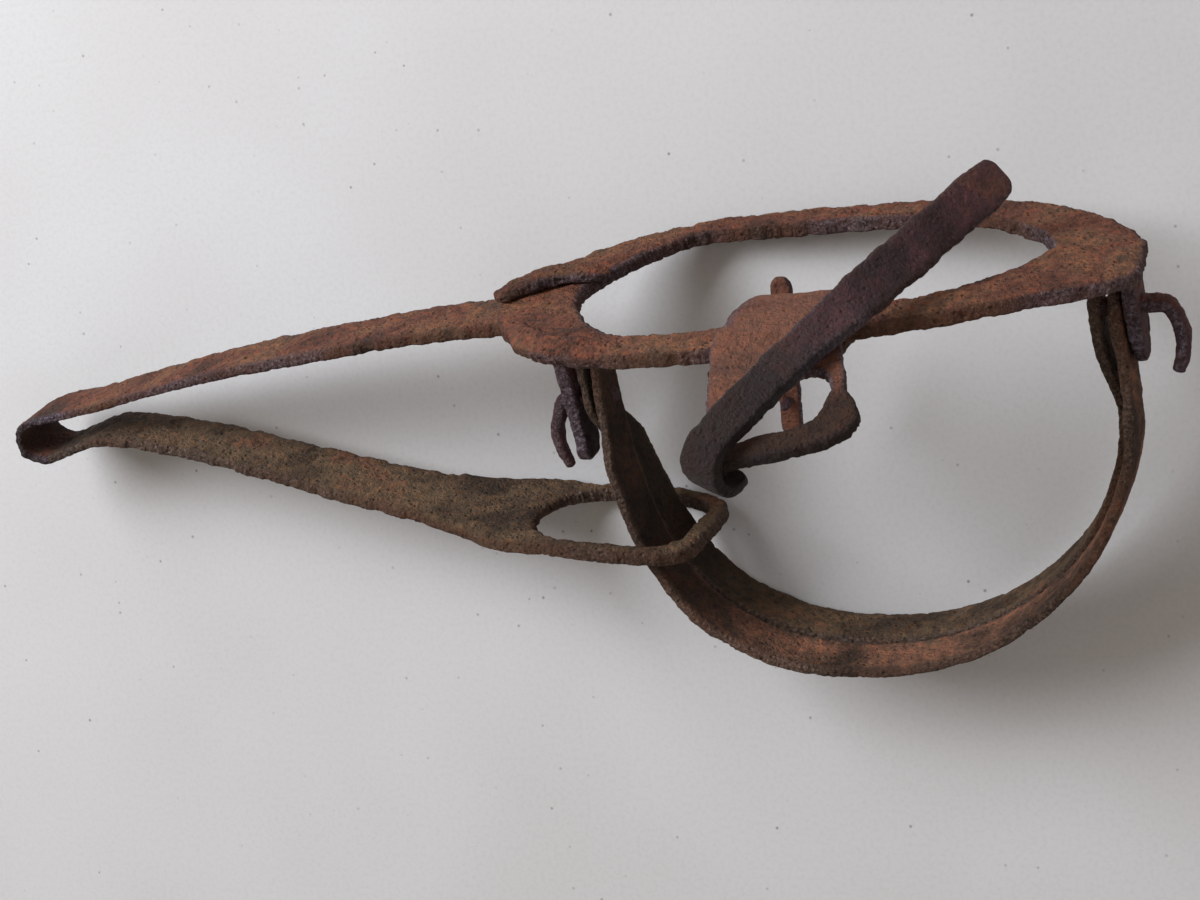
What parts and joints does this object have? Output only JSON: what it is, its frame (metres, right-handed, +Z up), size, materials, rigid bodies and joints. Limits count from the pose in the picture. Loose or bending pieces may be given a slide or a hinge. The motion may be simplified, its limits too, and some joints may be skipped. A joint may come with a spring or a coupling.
{
  "type": "snap mouse trap",
  "caption": "Rusty hand-forged jaw trap for mice: oval base frame, arched strip jaws, bow-shaped leaf spring with an eye, clenched trigger tongue and hooked dog, sprung and lying on its side.",
  "frame": {"origin": "centre of the bounding box on the plane the trap lies on", "axes": "+Z up from the surface the trap lies on, +X along the trap from the bow of the spring to the right post, +Y from the top of the jaws' arch to the underside of the base frame"},
  "size_m": [0.2098, 0.0776, 0.0821],
  "materials": {
    "orange_rusted_iron": "scaly orange-brown rust",
    "brown_rusted_iron": "rough brown rust",
    "olive_rusted_iron": "pitted olive-brown rust",
    "dark_scaled_iron": "smooth dark purple-brown scale"
  },
  "bodies": {
    "frame": {"base_frame": "orange_rusted_iron", "spring_clasp_near": "brown_rusted_iron", "spring_clasp_far": "brown_rusted_iron", "left_post": "dark_scaled_iron", "right_post": "dark_scaled_iron", "spring_fixed_arm": "orange_rusted_iron", "trigger_tongue": "brown_rusted_iron", "trigger_bracket": "brown_rusted_iron"},
    "near_jaw": {"near_jaw": "orange_rusted_iron"},
    "far_jaw": {"far_jaw": "olive_rusted_iron"},
    "spring_arm": {"spring_moving_arm": "olive_rusted_iron"},
    "trigger": {"trigger_post": "brown_rusted_iron", "catch_pin": "brown_rusted_iron"},
    "dog": {"dog": "dark_scaled_iron"}
  },
  "joints": [
    {"name": "near_jaw_swing", "type": "hinge", "parent": "frame", "child": "near_jaw", "pos_m": [0.00771, 0.00794, 0.01797], "axis": [-0.9904, -0.1032, -0.0925], "range_deg": [0, 56]},
    {"name": "far_jaw_swing", "type": "hinge", "parent": "frame", "child": "far_jaw", "pos_m": [0.00771, 0.00794, 0.01797], "axis": [0.9904, 0.1032, 0.0925], "range_deg": [0, 56]},
    {"name": "spring_flex", "type": "hinge", "parent": "frame", "child": "spring_arm", "pos_m": [-0.10015, 0.00766, 0.01154], "axis": [-0.0556, -0.3152, 0.9474], "range_deg": [0, 12], "stiffness_Nm_per_rad": 1.5, "springref_deg": -6.88, "deforming": ["spring_moving_arm"]},
    {"name": "dog_swing", "type": "hinge", "parent": "frame", "child": "dog", "pos_m": [0.05045, 0.00492, 0.07655], "axis": [0.8894, -0.1282, 0.4389], "range_deg": [0, 25]},
    {"name": "trigger_tilt", "type": "hinge", "parent": "frame", "child": "trigger", "pos_m": [0.0459, 0.02075, 0.02447], "axis": [0.9983, 0, 0.0586], "range_deg": [-8, 8]}
  ],
  "couplings": [
    {"joint": "far_jaw_swing", "follows": "near_jaw_swing", "ratio": 1},
    {"joint": "spring_flex", "follows": "near_jaw_swing", "ratio": 0.2143}
  ]
}
